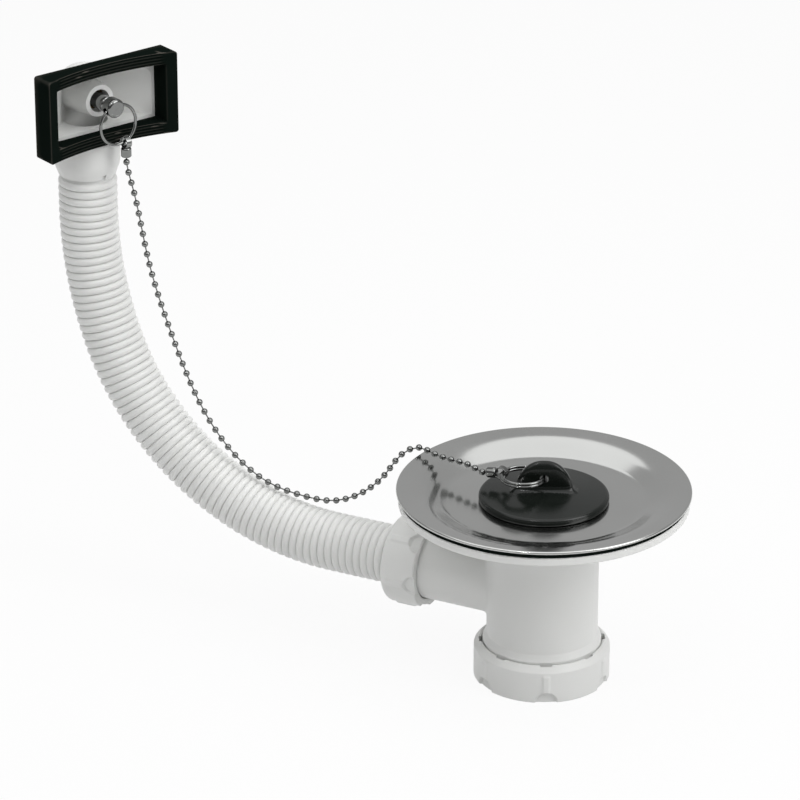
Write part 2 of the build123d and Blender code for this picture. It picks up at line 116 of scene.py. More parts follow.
# %% Round the corners of a section
def rounded(corners, steps=6, closed=True):
    """Points of an outline in the plane: corners are (a, b) or (a, b, radius)."""
    points = []
    count = len(corners)
    for i, corner in enumerate(corners):
        here = np.array(corner[:2], float)
        radius = corner[2] if len(corner) > 2 else 0
        at_end = not closed and i in (0, count - 1)
        if not radius or at_end:
            points.append(here)
            continue
        back = np.array(corners[i - 1][:2]) - here
        on = np.array(corners[(i + 1) % count][:2]) - here
        back_length, on_length = np.linalg.norm(back), np.linalg.norm(on)
        back, on = back / back_length, on / on_length
        half = np.arccos(np.clip(back @ on, -1, 1)) / 2
        reach = min(radius / tan(half), edge_share * back_length, edge_share * on_length)
        inward = (back + on) / np.linalg.norm(back + on)
        centre = here + inward * reach / cos(half)
        first, last = here + back * reach - centre, here + on * reach - centre
        start = atan2(first[1], first[0])
        sweep = (atan2(last[1], last[0]) - start + pi) % (2 * pi) - pi
        bow = np.linalg.norm(first)
        for t in np.linspace(0, 1, steps + 1):
            angle = start + sweep * t
            points.append(centre + bow * np.array((cos(angle), sin(angle))))
    return np.array(points)


edge_share = 0.49
corner_test = rounded([(0, 0, 1), (4, 0, 1), (4, 4, 1), (0, 4, 1)])
print("a square with round corners has", len(corner_test), "points")

# %% [markdown]
# ## From rows of points to a piece
#
# A modelled piece could be a curve with a bevel or a stack of modifiers, but a grid of points gives
# full control over every ring. The grid is joined into quads, points that meet are merged, the piece
# rides on its body and wears its finish, and the CAD node that it stands for is hidden.

# %% Join rows of points into a piece
def skin_faces(rows, columns, wrap_rows, wrap_columns):
    """Quads between neighbouring rows and columns of a grid of points."""
    faces = []
    for i in range(rows if wrap_rows else rows - 1):
        below, above = i * columns, (i + 1) % rows * columns
        for j in range(columns if wrap_columns else columns - 1):
            k = (j + 1) % columns
            faces.append((below + j, below + k, above + k, above + j))
    return faces


def add_piece(name, points, faces, finish, node, body="waste"):
    """Mesh object in millimetres that stands for a CAD node and rides on its body."""
    mesh = bpy.data.meshes.new(name)
    mesh.from_pydata((np.reshape(points, (-1, 3)) * mm).tolist(), [], faces)
    mesh.validate()
    soup = bmesh.new()
    soup.from_mesh(mesh)
    bmesh.ops.remove_doubles(soup, verts=soup.verts, dist=merge_distance)
    bmesh.ops.recalc_face_normals(soup, faces=soup.faces)
    soup.to_mesh(mesh)
    soup.free()
    mesh.shade_smooth()
    mesh.materials.append(finish)
    piece = bpy.data.objects.new(name, mesh)
    bpy.context.scene.collection.objects.link(piece)
    even = piece.modifiers.new("flat_faces_stay_flat", "WEIGHTED_NORMAL")
    even.keep_sharp = True
    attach(piece, body)
    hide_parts(node)
    print(name, "has", len(mesh.polygons), "faces")
    return piece


merge_distance = 1e-7
slot_of = {part["node"]: part["material_slot"] for part in frame["record"]["subparts"]}


def turned(section, segments):
    """Rows of points of a section (r, z) carried once around Z."""
    angles = np.linspace(0, 2 * pi, segments, endpoint=False)
    r, z = section[:, 0], section[:, 1]
    return np.array([np.stack((r * cos(a), r * sin(a), z), axis=1) for a in angles])


print("pieces can be made for", len(slot_of), "nodes")

# %% [markdown]
# ## Writing shader maths as Python
#
# A finish is a small graph of nodes. Drawing it by hand is slow and hard to read, so one class
# wraps a socket and lets it be used in ordinary sums: `1 - dust * 0.3` adds the two Math nodes that
# it needs. Any other node comes from the method `node`, which sets the node up and wires its inputs.

# %% A socket that can be used in sums
class Shade:
    """A shader socket. Sums of sockets and numbers become Math nodes in the same tree."""

    def __init__(self, tree, socket=None):
        self.tree = tree
        self.socket = socket

    def node(self, kind, settings=None, inputs=None, output=0):
        made = self.tree.nodes.new("ShaderNode" + kind)
        for key, value in (settings or {}).items():
            if key == "stops":
                ramp = made.color_ramp.elements
                while len(ramp) < len(value):
                    ramp.new(1.0)
                for stop, (place, grey) in zip(ramp, value):
                    stop.position = place
                    stop.color = (grey, grey, grey, 1)
            else:
                setattr(made, key, value)
        for key, value in (inputs or {}).items():
            if isinstance(value, Shade):
                self.tree.links.new(value.socket, made.inputs[key])
            else:
                made.inputs[key].default_value = value
        return Shade(self.tree, made.outputs[output])

    def sum(self, operation, first, second):
        return self.node("Math", {"operation": operation}, {0: first, 1: second})

    def __add__(self, other):
        return self.sum("ADD", self, other)

    def __radd__(self, other):
        return self.sum("ADD", other, self)

    def __sub__(self, other):
        return self.sum("SUBTRACT", self, other)

    def __rsub__(self, other):
        return self.sum("SUBTRACT", other, self)

    def __mul__(self, other):
        return self.sum("MULTIPLY", self, other)

    def __rmul__(self, other):
        return self.sum("MULTIPLY", other, self)


print("shader sums ready")

# %% [markdown]
# ## What every finish shares
#
# Each finish is one Principled shader. Numbers that are the same all over are set on the shader
# itself. What varies over the surface, such as colour, roughness and fine relief, is worked out from
# the position on the object, so that it stays put whatever the camera does.

# %% Start a finish and close it
def start_finish(name):
    """New material with a Principled shader, and a Shade to build its graph from."""
    material = bpy.data.materials.new(name)
    material.use_nodes = True
    graph = Shade(material.node_tree)
    place = graph.node("TexCoord", output="Object")
    return material, graph, place


def close_finish(material, graph, constants, colour, roughness, relief=None):
    """Set the constants on the shader and link what varies. Relief is (height, strength, metres)."""
    shader = material.node_tree.nodes["Principled BSDF"]
    for key, value in constants.items():
        shader.inputs[key].default_value = value
    links = material.node_tree.links
    links.new(colour.socket, shader.inputs["Base Color"])
    links.new(roughness.socket, shader.inputs["Roughness"])
    if relief:
        height, strength, metres = relief
        bump = graph.node("Bump", None, {"Strength": strength, "Distance": metres, "Height": height})
        links.new(bump.socket, shader.inputs["Normal"])
    print("finish", material.name)
    return material


def noise(graph, place, scale, detail=2.0):
    """Cloudy value around one half, scale in blobs per metre."""
    return graph.node("TexNoise", None, {"Vector": place, "Scale": scale, "Detail": detail})


def blend_colour(graph, share, first, second):
    """Colour between two, by a share from 0 to 1."""
    rgba = [value if isinstance(value, Shade) else (*value, 1.0) for value in (first, second)]
    return graph.node(
        "Mix", {"data_type": "RGBA"}, {0: share, 6: rgba[0], 7: rgba[1]}, output=2
    )


print("finishes can be made")

# %% [markdown]
# ## White moulded plastic
#
# The body, the nuts and the head are polypropylene, which is never a pure white: it is a warm, faintly
# translucent grey-white with a satin skin. A very fine relief, as left by a sparked mould, breaks up
# the highlights, and a slow drift in tone keeps large walls from looking painted. A little
# light scattering under the surface softens the shadows as it does in the real plastic.

# %% White plastic finishes
def white_plastic(name, tone, satin, scatter):
    material, graph, place = start_finish(name)
    drift = noise(graph, place, scale=22.0)
    spark = noise(graph, place, scale=2600.0, detail=1.0)
    darker = tuple(channel * 0.93 for channel in tone)
    colour = blend_colour(graph, drift, darker, tone)
    roughness = satin + (drift - 0.5) * 0.12
    constants = {
        "Subsurface Weight": scatter,
        "Subsurface Radius": (1.0, 1.0, 0.95),
        "Subsurface Scale": 1.2 * mm,
        "IOR": 1.49,
    }
    return close_finish(material, graph, constants, colour, roughness, (spark, 0.12, 0.05 * mm))


body_white = white_plastic("white_polypropylene", (0.80, 0.805, 0.79), satin=0.42, scatter=0.12)
hose_white = white_plastic("hose_polypropylene", (0.84, 0.845, 0.83), satin=0.40, scatter=0.2)

# %% [markdown]
# ## Black rubber
#
# The seals are a dull, carbon-black rubber. Black rubber is not zero black: it reflects a little light
# from a skin full of tiny pits, and handling leaves a grey bloom. The plug is the same rubber from
# a polished mould, so it is smoother and picks up the room. The face of the overflow head has a
# painted highlight: its colour is lighter along its ribs and edges, where crests would catch the light.
# The Geometry node's Pointiness finds them: it is above one half where the surface is bent outwards.

# %% Rubber finishes
def black_rubber(name, tone, gloss, bloom_share, shine, crest_highlight_gain=0.0):
    material, graph, place = start_finish(name)
    bloom = noise(graph, place, scale=90.0, detail=4.0)
    pits = noise(graph, place, scale=1800.0)
    dusty = tuple(channel + 0.012 for channel in tone)
    colour = blend_colour(graph, bloom * bloom_share, tone, dusty)
    if crest_highlight_gain:
        # Painted highlight: the colour turns lighter where Pointiness finds a rib crest or a convex
        # edge.
        crest = graph.node("NewGeometry", output="Pointiness")
        painted_crest_highlight = graph.node("Clamp", None, {0: (crest - flat_crest) * crest_highlight_gain})
        colour = blend_colour(graph, painted_crest_highlight, colour, crest_highlight_grey)
    roughness = gloss + (bloom - 0.5) * 0.16
    constants = {"Specular IOR Level": shine}
    return close_finish(material, graph, constants, colour, roughness, (pits, 0.15, 0.06 * mm))


# Grey of the painted highlight on the rib crests and edges of the face.
flat_crest, crest_highlight_grey = 0.51, (0.075, 0.071, 0.062)
seal_black = (0.004, 0.007, 0.0055)
seal_rubber = black_rubber("seal_rubber", seal_black, gloss=0.5, bloom_share=0.2, shine=0.0)
# The face's colour carries a painted highlight along its ribs and edges.
face_rubber = black_rubber("face_rubber", seal_black, gloss=0.5, bloom_share=0.2, shine=0.0, crest_highlight_gain=14.0)
plug_black = (0.004, 0.006, 0.0045)
plug_rubber = black_rubber("plug_rubber", plug_black, gloss=0.2, bloom_share=0.3, shine=0.35)

# %% [markdown]
# ## Bright metal
#
# The dish is stainless sheet that was spun against a polishing wheel, so it carries fine rings around
# its axis. They are drawn from the distance to the axis, stretched into thin rings by a noise that
# only reads that distance. Wiping leaves faint clouds in the gloss. The chain, the rings and
# the stud are plated: smoother and darker, with a few dull spots.

# %% Metal finishes
def polished_steel(name, tone, gloss):
    material, graph, place = start_finish(name)
    x = graph.node("SeparateXYZ", None, {"Vector": place})
    y = Shade(graph.tree, x.socket.node.outputs["Y"])
    radius = graph.node("Math", {"operation": "SQRT"}, {0: x * x + y * y})
    rings = graph.node(
        "TexNoise", {"noise_dimensions": "1D"}, {"W": radius, "Scale": 2400.0, "Detail": 3.0}
    )
    wiped = noise(graph, place, scale=35.0, detail=3.0)
    darker = tuple(channel * 0.9 for channel in tone)
    colour = blend_colour(graph, wiped, darker, tone)
    roughness = gloss + (wiped - 0.5) * 0.10 + (rings - 0.5) * 0.06
    return close_finish(material, graph, {"Metallic": 1.0}, colour, roughness, (rings, 0.04, 0.02 * mm))


def bright_plate(name, tone, gloss):
    material, graph, place = start_finish(name)
    spots = noise(graph, place, scale=700.0)
    darker = tuple(channel * 0.82 for channel in tone)
    colour = blend_colour(graph, spots, darker, tone)
    roughness = gloss + (spots - 0.5) * 0.08
    return close_finish(material, graph, {"Metallic": 1.0}, colour, roughness, (spots, 0.05, 0.02 * mm))


dish_steel = polished_steel("polished_stainless", (0.57, 0.575, 0.565), gloss=0.15)
chrome_plate = bright_plate("chrome_plate", (0.24, 0.245, 0.24), gloss=0.06)
# The brass is darkened almost to black as painted shade: it stands for the shade deep in the boss
# around the stud.
brass_painted_shade = bright_plate("brass_painted_shade", (0.09, 0.07, 0.035), gloss=0.45)

# %% [markdown]
# ## Dress the CAD nodes that keep their shape
#
# Pieces whose CAD shape is already right keep it and only get a finish. Their mesh came with the
# frame, so nothing is moved: the finish simply takes the place of the plain one in each slot.

# %% Give the CAD nodes their finishes
finish_of_slot = {
    "white_plastic": body_white,
    "hose_plastic": hose_white,
    "black_rubber": seal_rubber,
    "plug_rubber": plug_rubber,
    "stainless": dish_steel,
    "chrome": chrome_plate,
    "brass": brass_painted_shade,
}
for node_name, node_object in frame["nodes"].items():
    for material_slot in node_object.material_slots:
        material_slot.material = finish_of_slot[slot_of[node_name]]
print("dressed", len(frame["nodes"]), "nodes")

# %% [markdown]
# ## Sizes from the frame
#
# A piece that stands for a CAD node has to be as large as that node. Reading the node's box keeps
# the two together: if the CAD changes, the piece follows. The head is turned on its hose, so it also
# gets a helper that carries points from the head's own frame (X out of its face) into the shared one.

# %% Read boxes in millimetres and place the head
def box_mm(node):
    """Lowest and highest corner of a CAD node, in millimetres."""
    return [np.array(corner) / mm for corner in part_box(node)]


head_turn = radians(-25.2)
head_low, head_high = box_mm("overflow_gasket")
hose_low, hose_high = box_mm("overflow_hose")
hose_r = (hose_high[1] - hose_low[1]) / 2
head_x = hose_low[0] + hose_r
head_z = (head_low[2] + head_high[2]) / 2


def on_head(points):
    """Points of the head's own frame, in the shared frame."""
    points = np.asarray(points, float)
    x, y, z = points[..., 0], points[..., 1], points[..., 2]
    turned_x = x * cos(head_turn) - y * sin(head_turn) + head_x
    turned_y = x * sin(head_turn) + y * cos(head_turn)
    return np.stack((turned_x, turned_y, z + head_z), axis=-1)


print("hose radius", round(hose_r, 2), "head at", round(head_x, 2), round(head_z, 2))

# %% [markdown]
# ## The steel dish
#
# The dish is one disc of stainless sheet, pressed into a shallow bowl with a well for the strainer
# and a rim that is turned down over a rubber ring. A press leaves generous bends, and the mirror
# polish makes every change of slope show, so the section is drawn along the middle of the sheet with
# its real bends, thickened on both sides and turned in many small steps.

# %% Press the dish
dish_sheet, bowl_edge_z = 0.8, 0.2
dish_high = box_mm("strainer_dish")[1]
rim_r, rim_top = dish_high[0], dish_high[2]
rim_band, bowl_slope, bowl_depth, well_depth = 9.0, 9.0, 3.8, 16.0
seat_r, well_r, screw_hole_r = 21.8, 18.4, 3.2


def thickened(middle, thickness):
    """Closed section of a sheet from the line through its middle."""
    ahead_of = np.gradient(middle, axis=0)
    ahead_of /= np.linalg.norm(ahead_of, axis=1)[:, None]
    side = np.stack((-ahead_of[:, 1], ahead_of[:, 0]), axis=1) * thickness / 2
    return np.concatenate((middle + side, (middle - side)[::-1]))


half = dish_sheet / 2
dish_middle = rounded(
    [
        (screw_hole_r + half, -well_depth - half),
        (well_r, -well_depth - half, 2.0),
        (seat_r + half, -bowl_depth - half, 1.6),
        (rim_r - rim_band - bowl_slope, -bowl_depth - half, 9.0),
        (rim_r - rim_band, bowl_edge_z - half, 26.0),
        (rim_r - half, rim_top - half, 0.75),
        (rim_r - half, half),
    ],
    steps=12,
    closed=False,
)
dish_rows = turned(thickened(dish_middle, dish_sheet), segments=320)
dish_faces = skin_faces(*dish_rows.shape[:2], True, True)
dish = add_piece("pressed_dish", dish_rows, dish_faces, dish_steel, "strainer_dish")

# %% [markdown]
# ## Round holes
#
# The strainer is a ring of plain punched holes. They could be modelled into the grid of the dish, but a
# hole doesn't follow its rows, so a Boolean cuts them with a set of rods. The result is kept as the
# mesh of the piece and the rods are thrown away. The same helper drills the plug and the stud later.

# %% Punch the strainer holes
def drill(piece, places, radius, low, high, direction=None, overlaps=False, sides=28):
    """Cut round holes through a piece with one Boolean: places are points that the holes pass."""
    points, faces = [], []
    turn_to = (direction or Vector((0, 0, 1))).to_track_quat("Z", "Y")
    for place in places:
        base = len(points)
        for z in (low, high):
            for angle in np.linspace(0, 2 * pi, sides, endpoint=False):
                spoke = turn_to @ Vector((radius * cos(angle), radius * sin(angle), z))
                points.append(Vector(place) + spoke)
        faces += [
            (base + j, base + (j + 1) % sides, base + sides + (j + 1) % sides, base + sides + j)
            for j in range(sides)
        ]
        faces.append(tuple(base + j for j in reversed(range(sides))))
        faces.append(tuple(base + sides + j for j in range(sides)))
    tool_mesh = bpy.data.meshes.new("drill")
    tool_mesh.from_pydata([p * mm for p in points], [], faces)
    tool = bpy.data.objects.new("drill", tool_mesh)
    bpy.context.scene.collection.objects.link(tool)
    cut = piece.modifiers.new("holes", "BOOLEAN")
    cut.object, cut.solver, cut.use_self = tool, "EXACT", overlaps
    piece.modifiers.move(len(piece.modifiers) - 1, 0)
    kept = piece.modifiers["flat_faces_stay_flat"]
    kept.show_viewport = False
    result = bpy.data.meshes.new_from_object(piece.evaluated_get(bpy.context.evaluated_depsgraph_get()))
    kept.show_viewport = True
    piece.modifiers.remove(cut)
    piece.data = result
    bpy.data.objects.remove(tool)
    print(piece.name, "drilled", len(places), "holes")


strainer_rings, strainer_hole_r = ((9.0, 6), (14.6, 12)), 2.6
strainer_places = [
    (ring * cos(2 * pi * i / count), ring * sin(2 * pi * i / count), -well_depth)
    for ring, count in strainer_rings
    for i in range(count)
]
drill(dish, strainer_places, strainer_hole_r, -3, 3)

# %% [markdown]
# ## The plug
#
# The plug is a solid rubber moulding: a disc with a soft rim, a tapered skirt that seals in the dish,
# and a half-moon tab to pull it by. The disc is turned like the dish. The tab could be an
# extruded half circle, but rubber has no sharp edges, so it is built as a stack of rounded slices
# that flare into the disc at the bottom and close over at the top. A hole through it takes the ring.

# %% Mould the plug
plug_high = box_mm("plug")[1]
plug_r = plug_high[0]
plug_turn = radians(25.0)
plug_rim_h, plug_crown = 3.1, 1.9
skirt_depth, seat_gap, skirt_draft = 4.5, 0.4, 1.6
plug_top = -bowl_depth + plug_rim_h
skirt_r = seat_r - seat_gap
plug_section = rounded(
    [
        (0, -bowl_depth - skirt_depth),
        (skirt_r - skirt_draft, -bowl_depth - skirt_depth, 1.0),
        (skirt_r - seat_gap, -bowl_depth, 0.6),
        (plug_r, -bowl_depth, 1.1),
        (plug_r, plug_top, 1.5),
        (plug_r * 0.55, plug_top + plug_crown * 0.45, 30.0),
        (0, plug_top + plug_crown * 0.8),
    ],
    steps=8,
)
plug_rows = turned(plug_section, segments=192)
tab_half, tab_thick, tab_flare, tab_root = 11.25, 4.4, 1.6, 1.0
arch_power, crown_share, end_power, side_power = 2.3, 0.2, 0.5, 0.6
tab_base = plug_top - tab_root
tab_peak = plug_high[2]


def tab_slice(share, count=64):
    """Slice of the tab: share runs from 0 in the disc to 1 at the peak."""
    z = tab_base + (tab_peak - tab_base) * share
    free = max(z - plug_top - plug_crown * 0.6, 0)
    fillet = tab_flare * (1 - min(free / tab_flare, 1)) ** 2
    arch = max(1 - share**arch_power, 0) ** 0.5
    crown = min(1, ((1 - share) / crown_share) ** 0.5) if share < 1 else 0
    length = tab_half * arch + fillet
    thick = (tab_thick / 2) * crown * (0.78 + 0.22 * arch) + fillet
    points = []
    for angle in np.linspace(0, 2 * pi, count, endpoint=False):
        c, s = cos(angle), sin(angle)
        points.append((
            length * np.sign(c) * abs(c) ** end_power,
            thick * np.sign(s) * abs(s) ** side_power,
            z,
        ))
    return points


tab_shares = [
    0, 0.08, 0.14, 0.2, 0.26, 0.32, 0.4, 0.48, 0.56,
    0.64, 0.72, 0.79, 0.85, 0.9, 0.94, 0.97, 0.99, 1,
]
tab_rows = np.array([tab_slice(share) for share in tab_shares])
spin = np.array([[cos(plug_turn), -sin(plug_turn)], [sin(plug_turn), cos(plug_turn)]])
tab_rows[..., :2] = tab_rows[..., :2] @ spin.T
disc_points = plug_rows.reshape(-1, 3)
plug_faces = skin_faces(*plug_rows.shape[:2], True, False)
tab_faces = skin_faces(*tab_rows.shape[:2], False, True) + [tuple(reversed(range(tab_rows.shape[1])))]
plug_faces += [tuple(len(disc_points) + i for i in face) for face in tab_faces]
plug_points = np.concatenate((disc_points, tab_rows.reshape(-1, 3)))
plug = add_piece("moulded_plug", plug_points, plug_faces, plug_rubber, "plug")
ring_hole_height, ring_hole_r = 6.6, 1.75
through_tab = Vector((-sin(plug_turn), cos(plug_turn), 0))
drill(plug, [(0, 0, plug_top + ring_hole_height)], ring_hole_r, -4, 4, through_tab, overlaps=True)

# %% [markdown]
# ## The corrugated hose
#
# The hose is blow-moulded: a thin wall with a round crest and a narrow groove every three millimetres,
# so that it can be bent by hand. It runs straight out of the branch, bends through a quarter turn
# on two radii, and ends under the head. A curve with a bevel could give the bend but not the waves,
# so rows of rings are set along the path and their radius rises and falls with the distance travelled.
# The rings stay square to the path, which crowds the crests on the inside of the bend as in the real
# hose.

# %% Path of the hose
branch_z = -41.5
hose_start_x = -48.0
hose_run_x = -91.0
lower_bend_r, upper_bend_r = 106.0, 157.0
lower_turn = radians(70.0)
hose_top_z = hose_high[2]


def hose_path(travel):
    """Point (x, z) and heading angle of the hose's middle line after some millimetres of travel."""
    run = hose_start_x - hose_run_x
    lower, upper = lower_bend_r * lower_turn, upper_bend_r * (pi / 2 - lower_turn)
    if travel <= run:
        return hose_start_x - travel, branch_z, 0.0
    angle = min((travel - run) / lower_bend_r, lower_turn)
    x = hose_run_x - lower_bend_r * sin(angle)
    z = branch_z + lower_bend_r * (1 - cos(angle))
    if travel <= run + lower:
        return x, z, angle
    more = min((travel - run - lower) / upper_bend_r + lower_turn, pi / 2)
    x -= upper_bend_r * (sin(more) - sin(lower_turn))
    z += upper_bend_r * (cos(lower_turn) - cos(more))
    return x, z + max(travel - run - lower - upper, 0), more


bend_length = lower_bend_r * lower_turn + upper_bend_r * (pi / 2 - lower_turn)
rise_start_z = hose_path(hose_start_x - hose_run_x + bend_length)[1]
hose_length = hose_start_x - hose_run_x + bend_length + hose_top_z - rise_start_z
print("hose is", round(hose_length, 1), "mm long")

# %% [markdown]
# ## Crests and grooves
#
# A plain sine would give a soft wave. Blow-moulding gives a broad round crest and a tight groove,
# because the wall is pressed outwards into the mould. A power of the distance from the crest draws
# that shape, with its steps set closer together near the groove, where it bends the most.

# %% Blow the corrugations
cuff_length, top_cuff, hose_pitch = 14.0, 1.5, 3.15
hose_groove, hose_wall = 1.5, 0.8
waves = round((hose_length - cuff_length - top_cuff) / hose_pitch)
wave_length = (hose_length - cuff_length - top_cuff) / waves
cuff_lead, crest_flat, crest_round = 0.6, 2.4, 0.6
around = 72
crest_steps = (-1.0, -0.95, -0.84, -0.62, -0.32, 0.0, 0.32, 0.62, 0.84, 0.95)
cuff_r = hose_r - hose_groove / 2


def hose_ring(travel, radius):
    """Ring of points square to the path."""
    x, z, heading = hose_path(travel)
    angles = np.linspace(0, 2 * pi, around, endpoint=False)
    outward = radius * np.cos(angles)
    ring_x, ring_z = x - outward * sin(heading), z - outward * cos(heading)
    return np.stack((ring_x, radius * np.sin(angles), ring_z), axis=1)


hose_rows = [hose_ring(0, cuff_r), hose_ring(cuff_length - cuff_lead, cuff_r)]
for wave in range(waves):
    for step in crest_steps:
        travel = cuff_length + wave_length * (wave + (step + 1) / 2)
        crest = (1 - abs(step) ** crest_flat) ** crest_round
        hose_rows.append(hose_ring(travel, hose_r - hose_groove * (1 - crest)))
hose_rows.append(hose_ring(hose_length - top_cuff, hose_r - hose_groove))
hose_rows.append(hose_ring(hose_length, hose_r - hose_groove))
bore_r = hose_r - hose_groove - hose_wall
for i in range(waves, -1, -1):
    hose_rows.append(hose_ring(hose_length * i / waves, bore_r))
hose_rows = np.array(hose_rows)
hose_faces = skin_faces(*hose_rows.shape[:2], True, True)
add_piece("corrugated_hose", hose_rows, hose_faces, hose_white, "overflow_hose")

# %% [markdown]
# ## The two nuts
#
# Both nuts are from the same family: a thin-walled ring with six grip ribs, and a half-round
# notch under each rib where the mould's slides met. The lower one snaps over the flared end of
# the body with eight slots in its lip, and spins there. Cutting ribs with Booleans leaves hard edges,
# so each nut is turned as a fine grid instead, and every point is moved by a formula for ribs, notches,
# slots and the thread inside. That gives soft moulded transitions in one skin.

# %% Helpers for moulded steps
def soft_step(value, width):
    """0 below zero, 1 above width, smooth between."""
    t = np.clip(value / width, 0, 1)
    return t * t * (3 - 2 * t)


def spread(corners, spacing, steps=5):
    """Rounded section with extra points along its straight stretches."""
    base = rounded(corners, steps)
    points = []
    for here, there in zip(base, np.roll(base, -1, axis=0)):
        pieces = max(int(np.ceil(np.linalg.norm(there - here) / spacing)), 1)
        points += [here + (there - here) * k / pieces for k in range(pieces)]
    return np.array(points)


def arc_gap(angle, first, count, radius):
    """Distance along the circle from an angle to the nearest of evenly spaced marks."""
    pitch = 2 * pi / count
    return abs((angle - first + pitch / 2) % pitch - pitch / 2) * radius


rib_count, rib_width, rib_height = 6, 2.6, 0.6
notch_r, notch_depth = 4.2, 1.1
rib_soft, end_soft, wall_soft, notch_ease, notch_soft = 0.5, 0.8, 0.3, 0.15, 0.35
thread_pitch, thread_depth = 2.309, 0.9


def grip(r, z, angle, nut_r, low, high, turn):
    """Radius of a nut's outside with its ribs and notches. Low is the notched edge."""
    across_rib = arc_gap(angle, turn, rib_count, nut_r)
    rib = soft_step((rib_width + rib_soft) / 2 - across_rib, rib_soft) * soft_step(high - z, end_soft)
    notch = soft_step(notch_r + notch_ease - np.hypot(across_rib, z - low), notch_soft)
    outside = nut_r + rib_height * rib * (1 - notch) - notch_depth * notch
    near_wall = soft_step(r - (nut_r - notch_depth - wall_soft), wall_soft)
    raised = r + rib_height * rib * (1 - notch) * near_wall
    return np.where(near_wall > 0, np.minimum(raised, outside), r)


def thread(r, z, angle, wall_r, low, high):
    """Radius of a bore wall with a right-hand thread between two heights."""
    turn_share = (z / thread_pitch - angle / (2 * pi)) % 1.0
    ridge = 1 - abs(2 * turn_share - 1)
    inside = soft_step(z - low, end_soft) * soft_step(high - z, end_soft)
    return np.where(abs(r - wall_r) < 0.01, r - thread_depth * soft_step(ridge - 0.15, 0.7) * inside, r)


print(rib_count, "ribs to a nut")

# %% [markdown]
# ## The coupling nut
#
# The nut under the body takes the trap. Its lip hooks over the flared tube, so it can't be lost, and
# the slots let the lip spring over when it is pushed on. It is the one piece that turns, so it rides
# on its own body.

# %% Mould the coupling nut
nut_low, nut_high = box_mm("coupling_nut")
nut_r, nut_bottom, nut_top = -nut_low[1], nut_low[2], nut_high[2]
nut_shoulder, nut_lip, lip_r, relief_r, bore_wall_r = 2.3, 2.0, 23.55, 24.55, 23.0
relief_low, lip_slots, slot_width, slot_depth = -69.9, 8, 4.6, 1.1
nut_turn = radians(-61.0)
nut_section = spread(
    [
        (lip_r, nut_top, 0.3), (lip_r + 0.8, nut_top, 0.4), (nut_r, nut_top - nut_shoulder, 0.9),
        (nut_r, nut_bottom, 0.5), (bore_wall_r, nut_bottom, 0.4), (bore_wall_r, relief_low - 0.5),
        (relief_r, relief_low), (relief_r, nut_top - nut_lip), (lip_r, nut_top - nut_lip, 0.2),
    ],
    0.4,
)
nut_rows = turned(nut_section, segments=420)
for row in nut_rows:
    angle = atan2(row[0, 1], row[0, 0])
    r, z = np.hypot(row[:, 0], row[:, 1]), row[:, 2]
    moved = grip(r, z, angle, nut_r, nut_bottom, nut_top - nut_shoulder - 0.8, nut_turn)
    moved = thread(moved, z, angle, bore_wall_r, nut_bottom + 0.4, relief_low - 0.5)
    slot = soft_step(slot_width / 2 + 0.1 - arc_gap(angle, nut_turn, lip_slots, lip_r), 0.25)
    in_lip = soft_step(z - (nut_top - nut_lip - 0.3), 0.2) * soft_step(lip_r + slot_depth - moved, 0.3)
    moved = np.where(in_lip > 0, np.maximum(moved, lip_r + slot_depth * slot), moved)
    row[:, 0], row[:, 1] = moved * cos(angle), moved * sin(angle)
nut_faces = skin_faces(*nut_rows.shape[:2], True, True)
add_piece("ribbed_outlet_nut", nut_rows, nut_faces, body_white, "coupling_nut", "outlet_nut")

# %% [markdown]
# ## The overflow nut
#
# The smaller nut squeezes a rubber ring around the hose in the side branch. It is turned upright with
# the same grip and then laid along the branch, which runs along X.

# %% Mould the overflow nut
flow_low, flow_high = box_mm("overflow_nut")
flow_r = (flow_high[2] - flow_low[2]) / 2
flow_near, flow_far = -flow_high[0], -flow_low[0]
flow_wall, flow_turn, branch_thread_r = 2.5, radians(20.0), 14.25
hose_hole_r = hose_r + 0.35
flow_section = spread(
    [
        (branch_thread_r, flow_near, 0.4), (flow_r, flow_near, 0.6), (flow_r, flow_far, 2.2),
        (hose_hole_r, flow_far, 0.6), (hose_hole_r, flow_far - flow_wall),
        (branch_thread_r, flow_far - flow_wall),
    ],
    0.4,
)
flow_rows = turned(flow_section, segments=300)
for row in flow_rows:
    angle = atan2(row[0, 1], row[0, 0])
    r, z = np.hypot(row[:, 0], row[:, 1]), row[:, 2]
    moved = grip(r, z, angle, flow_r, flow_near, flow_far - 2.4, flow_turn)
    row[:, 0], row[:, 1] = moved * cos(angle), moved * sin(angle)
laid = np.stack((-flow_rows[..., 2], flow_rows[..., 1], flow_rows[..., 0] + branch_z), axis=-1)
laid_faces = skin_faces(*laid.shape[:2], True, True)
add_piece("ribbed_overflow_nut", laid, laid_faces, body_white, "overflow_nut")

# %% [markdown]
# ## The rubber face of the overflow head
#
# A thick rubber frame presses against the sink wall. Its front is hollowed across the width, so
# that it seals on a curved wall, and three soft ribs run along the upper and the lower rail. The frame
# is built like a picture frame: a section is carried around a rectangle, and the front of the
# section is pushed back by the hollow and by the ribs, which fade out before the corners.

# %% Mould the rubber face
face_ahead, frame_depth = 20.6, 10.5
frame_w, frame_h, frame_corner = 60.2, head_high[2] - head_low[2], 1.1
opening_w, opening_h, opening_corner = 51.0, 24.0, 0.5
face_hollow_r, rib_pitch, rib_relief = 92.0, 1.25, 0.6
frame_back = face_ahead - frame_depth
rail = (frame_h - opening_h) / 2


